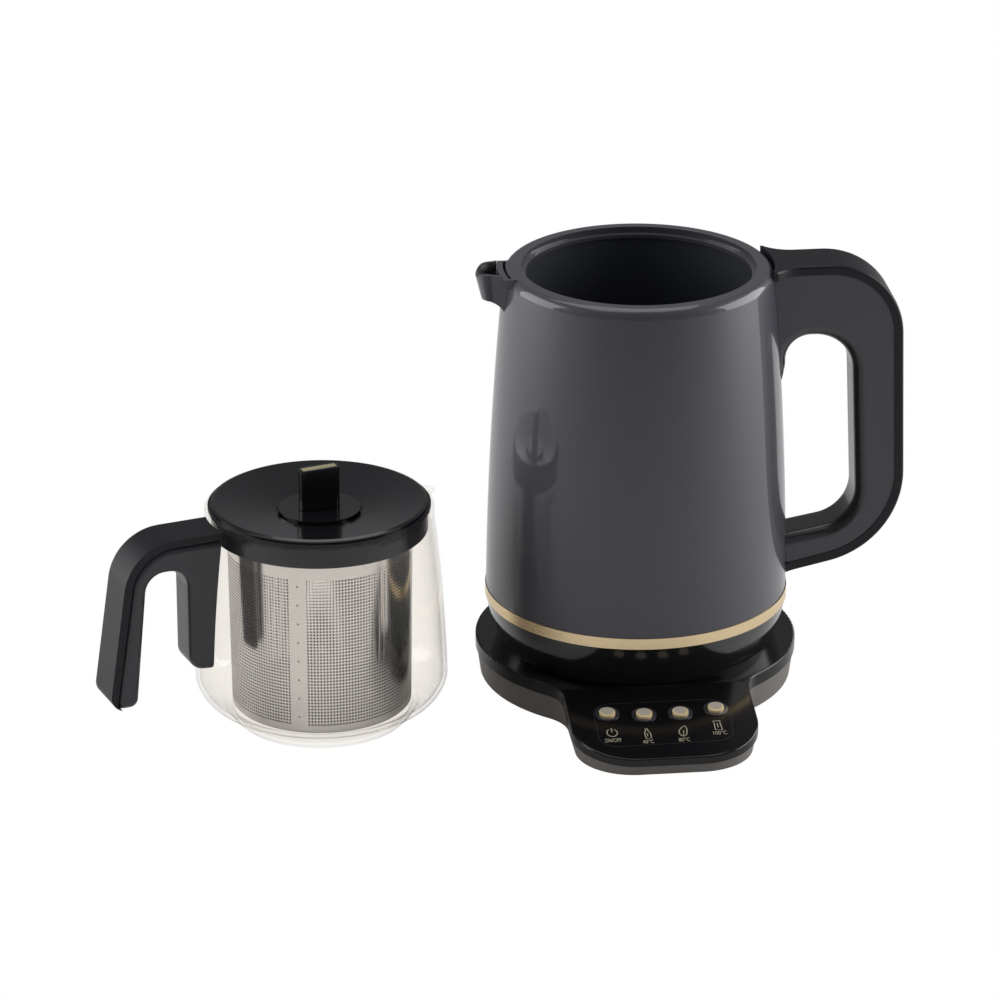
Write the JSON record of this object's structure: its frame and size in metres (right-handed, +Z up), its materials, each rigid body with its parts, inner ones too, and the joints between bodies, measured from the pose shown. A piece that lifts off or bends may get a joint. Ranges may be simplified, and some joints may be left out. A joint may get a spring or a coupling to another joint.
{
  "type": "automatic tea maker",
  "caption": "Electric kettle on a round base with a button console, beside a glass teapot with a steel infuser, lid and open handle.",
  "frame": {"origin": "on the table, under the kettle's vertical axis", "axes": "+Z up, -Y towards the button console, +X towards the kettle's handle"},
  "size_m": [0.432, 0.2271, 0.2312],
  "materials": {
    "cover_black": "high gloss black moulding",
    "casing_grey": "satin warm grey moulding",
    "foot_rubber": "matt rubber",
    "zinc_steel": "zinc plated",
    "black_moulding": "fine satin black moulding",
    "contact_brass": "bright",
    "board_green": "lacquered board",
    "ring_smoke": "smoked light guide",
    "button_champagne": "spun champagne",
    "kettle_grey": "high gloss anthracite",
    "pot_black": "dark coated steel",
    "champagne_gold": "brushed champagne gold",
    "heater_aluminium": "cast",
    "strip_black": "satin black",
    "handle_grey": "semi gloss anthracite",
    "clear_glass": "borosilicate glass",
    "basket_steel": "fine brushed"
  },
  "bodies": {
    "base": {"base_top_cover": "cover_black", "base_lower_casing": "casing_grey", "base_feet": "foot_rubber", "base_screws": "zinc_steel", "cord_gland": "foot_rubber", "connector_post": "black_moulding", "connector_contacts": "contact_brass", "control_board": "board_green", "tact_switches": "black_moulding", "button_bezels": "ring_smoke"},
    "power_button": {"button_power": "button_champagne"},
    "button_40_degrees": {"button_40": "button_champagne"},
    "button_80_degrees": {"button_80": "button_champagne"},
    "button_100_degrees": {"button_100": "button_champagne"},
    "kettle_socket": {"kettle_connector": "black_moulding"},
    "kettle": {"rim_ring": "kettle_grey", "kettle_body_shell": "kettle_grey", "spout_shell": "kettle_grey", "spout_liner": "black_moulding", "gold_band": "champagne_gold", "kettle_skirt": "cover_black", "inner_pot": "pot_black", "heating_plate": "heater_aluminium", "heating_element": "zinc_steel", "temperature_sensor": "zinc_steel", "kettle_bottom_cover": "black_moulding", "kettle_bottom_screws": "zinc_steel", "handle_shell": "kettle_grey", "handle_strip": "strip_black"},
    "teapot": {"glass_jar": "clear_glass", "teapot_handle_shell": "handle_grey", "teapot_handle_strip": "strip_black"},
    "infuser": {"infuser_collar": "strip_black", "infuser_basket": "basket_steel"},
    "teapot_lid": {"teapot_lid": "cover_black", "lid_knob_base": "cover_black", "lid_knob": "cover_black", "knob_inlay": "champagne_gold"}
  },
  "joints": [
    {"name": "power_press", "type": "slide", "parent": "base", "child": "power_button", "axis": [0, -0.1673, 0.9859], "range_m": [-0.0008, 0], "stiffness_N_per_m": 300},
    {"name": "press_40", "type": "slide", "parent": "base", "child": "button_40_degrees", "axis": [0, -0.1673, 0.9859], "range_m": [-0.0008, 0], "stiffness_N_per_m": 300},
    {"name": "press_80", "type": "slide", "parent": "base", "child": "button_80_degrees", "axis": [0, -0.1673, 0.9859], "range_m": [-0.0008, 0], "stiffness_N_per_m": 300},
    {"name": "press_100", "type": "slide", "parent": "base", "child": "button_100_degrees", "axis": [0, -0.1673, 0.9859], "range_m": [-0.0008, 0], "stiffness_N_per_m": 300},
    {"name": "kettle_lift", "type": "slide", "parent": "base", "child": "kettle_socket", "axis": [0, 0, 1], "range_m": [0, 0.12]},
    {"name": "kettle_swivel", "type": "hinge", "parent": "kettle_socket", "child": "kettle", "pos_m": [0, 0, 0], "axis": [0, 0, 1], "range_deg": [-125, 150]},
    {"name": "teapot_lift", "type": "slide", "parent": "base", "child": "teapot", "axis": [0, 0, 1], "range_m": [0, 0.15]},
    {"name": "infuser_lift", "type": "slide", "parent": "teapot", "child": "infuser", "axis": [0, 0, 1], "range_m": [0, 0.12]},
    {"name": "lid_lift", "type": "slide", "parent": "infuser", "child": "teapot_lid", "axis": [0, 0, 1], "range_m": [0, 0.06]}
  ]
}
